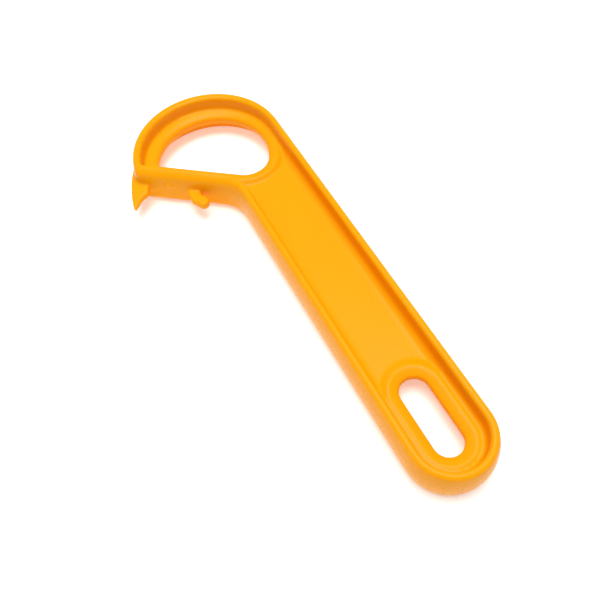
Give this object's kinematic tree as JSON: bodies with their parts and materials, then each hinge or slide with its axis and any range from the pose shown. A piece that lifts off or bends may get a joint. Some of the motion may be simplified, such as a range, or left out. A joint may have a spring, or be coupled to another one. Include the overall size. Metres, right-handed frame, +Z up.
{
  "type": "jar lid opener",
  "caption": "One-piece moulded plastic opener for jar lids and bottle caps: channelled handle with a hanging slot, arched head with a finger opening, hooked claw and tab.",
  "frame": {"origin": "centre of the bounding box in plan, on the plane of the lower rim that the opener rests on", "axes": "+X along the handle from the hanging slot to the arched head, +Y to the side that carries the claw, +Z up through the thickness"},
  "size_m": [0.1626, 0.0578, 0.014],
  "materials": {
    "moulded_plastic": "semi-gloss as moulded"
  },
  "bodies": {
    "root": {"opener_body": "moulded_plastic"}
  },
  "joints": []
}
